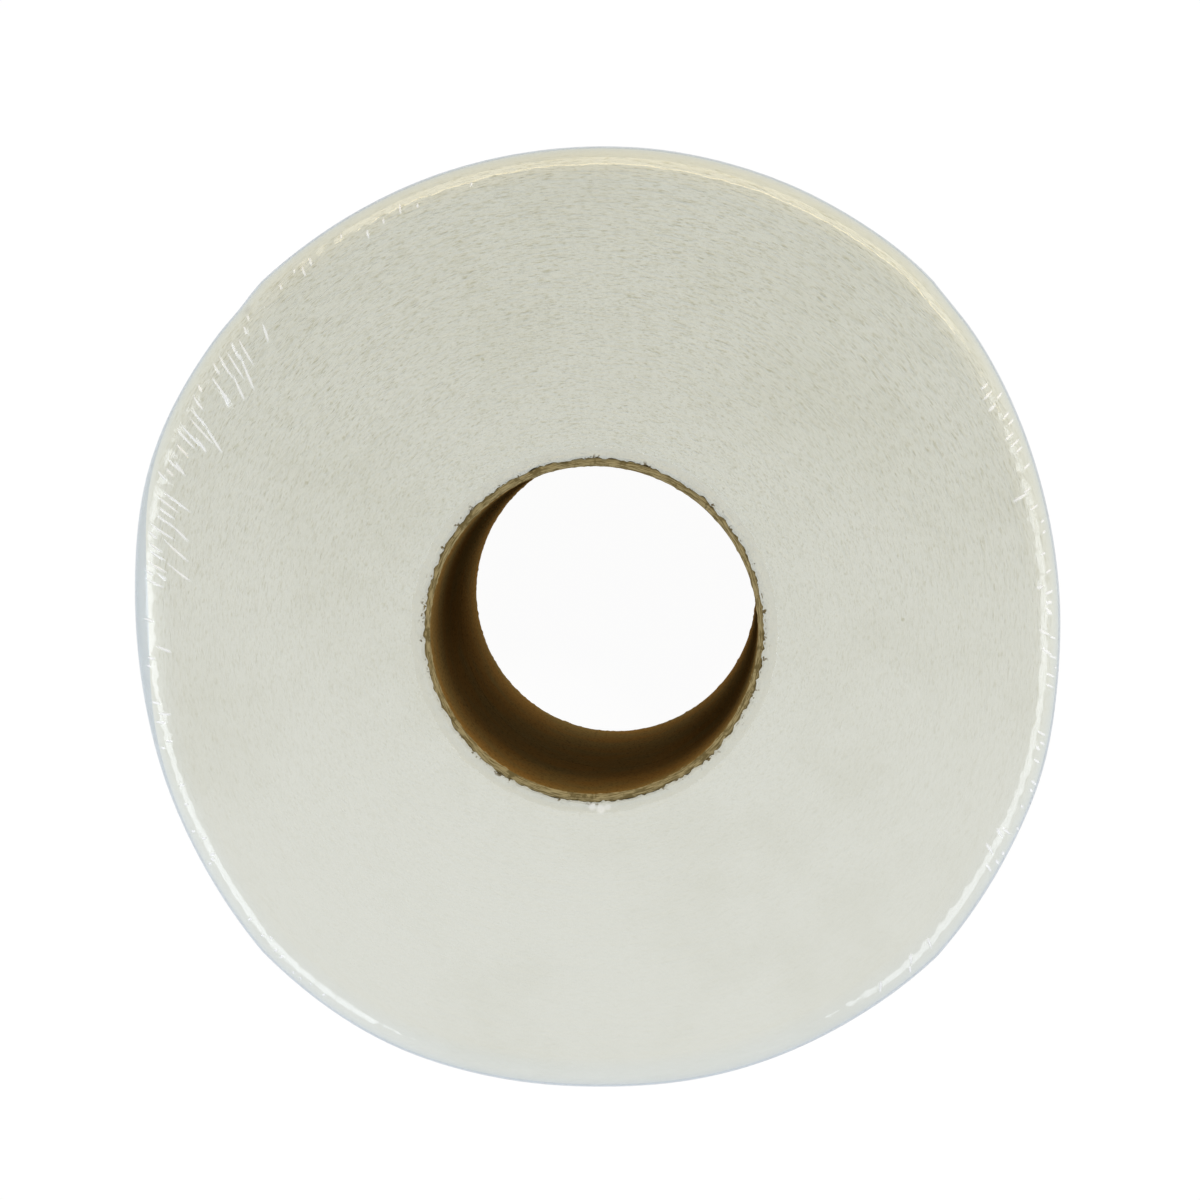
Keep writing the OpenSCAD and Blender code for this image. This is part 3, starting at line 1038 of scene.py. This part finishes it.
studio = {
    "floorSize": 8.0,
    "floorColour": (0.8, 0.8, 0.8, 1.0),
    "floorShown": 0.965,  # brightness of the white that the camera sees
    "shadowShare": 0.05,  # how much of the shadow stays on it
    "boreGlow": 1.2,  # light that comes in at the far end of the bore, which is open in the photo
    "sky": (0.52, 0.532, 0.54, 1.0),
    "panels": {
        "leftPanel": {
            "place": (-0.86, -0.36, 0.56),
            "size": (1.5, 0.55),
            "power": 6.4,
            "tint": (0.96, 0.97, 1.0),
        },
        "rightPanel": {
            "place": (0.86, -0.34, 0.56),
            "size": (1.5, 0.55),
            "power": 5.4,
            "tint": (0.96, 0.97, 1.0),
        },
        "window": {
            "place": (0.20, 1.0, 0.78),
            "size": (1.9, 0.12),
            "power": 2.9,
            "tint": (1.0, 0.80, 0.46),
        },
        "backFill": {
            "place": (0.16, 1.0, 0.40),
            "size": (2.2, 0.5),
            "power": 5.2,
            "tint": (1.0, 0.85, 0.58),
        },
    },
    "boreLamp": {
        "way": (0.12, 0.30, 1.0),
        "away": 1.3,
        "reach": 0.035,
        "power": 18.0,
        "softness": 0.005,
    },
}


def backgroundRays(tree):
    # 1 for the rays that show the white surroundings: straight, mirrored or through glass
    path = tree.nodes.new("ShaderNodeLightPath")
    shown = mathNode(tree, "MAXIMUM", path.outputs["Is Camera Ray"], path.outputs["Is Glossy Ray"])
    return mathNode(tree, "MAXIMUM", shown, path.outputs["Is Transmission Ray"])


def addFloor():
    deselectAll()
    bpy.ops.mesh.primitive_plane_add(size=studio["floorSize"], location=(0, 0, 0))
    floor = bpy.context.object
    floor.name = "floor"
    material, tree, output = newMaterial("paleFloor")
    material.cycles.emission_sampling = "NONE"
    plain = tree.nodes.new("ShaderNodeBsdfDiffuse")
    plain.inputs["Color"].default_value = studio["floorColour"]
    place = tree.nodes.new("ShaderNodeTexCoord").outputs["Object"]
    rim = pack["boreRadius"]
    inBore = rangeNode(tree, coreDistance(tree, place), rim + 0.001, rim - 0.001)
    glow = tree.nodes.new("ShaderNodeEmission")
    tree.links.new(mathNode(tree, "MULTIPLY", inBore, studio["boreGlow"]), glow.inputs["Strength"])
    unseen = tree.nodes.new("ShaderNodeAddShader")
    tree.links.new(plain.outputs["BSDF"], unseen.inputs[0])
    tree.links.new(glow.outputs["Emission"], unseen.inputs[1])
    shown = tree.nodes.new("ShaderNodeEmission")
    shown.inputs["Strength"].default_value = studio["floorShown"]
    shade = tree.nodes.new("ShaderNodeBsdfDiffuse")
    share = studio["shadowShare"]
    shade.inputs["Color"].default_value = (share, share, share, 1)
    both = tree.nodes.new("ShaderNodeAddShader")
    tree.links.new(shown.outputs["Emission"], both.inputs[0])
    tree.links.new(shade.outputs["BSDF"], both.inputs[1])
    mix = tree.nodes.new("ShaderNodeMixShader")
    tree.links.new(backgroundRays(tree), mix.inputs["Fac"])
    tree.links.new(unseen.outputs["Shader"], mix.inputs[1])
    tree.links.new(both.outputs["Shader"], mix.inputs[2])
    tree.links.new(mix.outputs["Shader"], output.inputs["Surface"])
    floor.data.materials.append(material)


def addPanel(name, settings):
    deselectAll()
    place = Vector(settings["place"])
    bpy.ops.object.light_add(type="AREA", location=place)
    lamp = bpy.context.object
    lamp.name = name
    lamp.data.shape = "RECTANGLE"
    lamp.data.size, lamp.data.size_y = settings["size"]
    lamp.data.energy = settings["power"]
    lamp.data.color = settings["tint"]
    aim = Vector((0, 0, packTop)) - place
    lamp.rotation_euler = aim.to_track_quat("-Z", "Y").to_euler()


def addBoreLamp():
    # A narrow beam that reaches down the bore, as the light from beyond its far end does in the photo
    deselectAll()
    settings = studio["boreLamp"]
    opening = pack["coreCentre"] + Vector((0, 0, packTop))
    way = Vector(settings["way"]).normalized()
    bpy.ops.object.light_add(type="SPOT", location=opening + way * settings["away"])
    lamp = bpy.context.object
    lamp.name = "boreLamp"
    lamp.data.energy = settings["power"]
    lamp.data.spot_size = 2 * math.atan(settings["reach"] / settings["away"])
    lamp.data.spot_blend = 0.4
    lamp.data.shadow_soft_size = settings["softness"]
    lamp.rotation_euler = (-way).to_track_quat("-Z", "Y").to_euler()


def setWorld():
    world = bpy.data.worlds.new("studio")
    bpy.context.scene.world = world
    world.use_nodes = True
    tree = world.node_tree
    background = tree.nodes["Background"]
    sky = mixColour(tree, backgroundRays(tree), studio["sky"], (1, 1, 1, 1))
    tree.links.new(sky, background.inputs["Color"])


addFloor()
for panelName, panelSettings in studio["panels"].items():
    addPanel(panelName, panelSettings)
addBoreLamp()
setWorld()
bpy.context.scene.view_settings.view_transform = "Standard"
print("studio set")
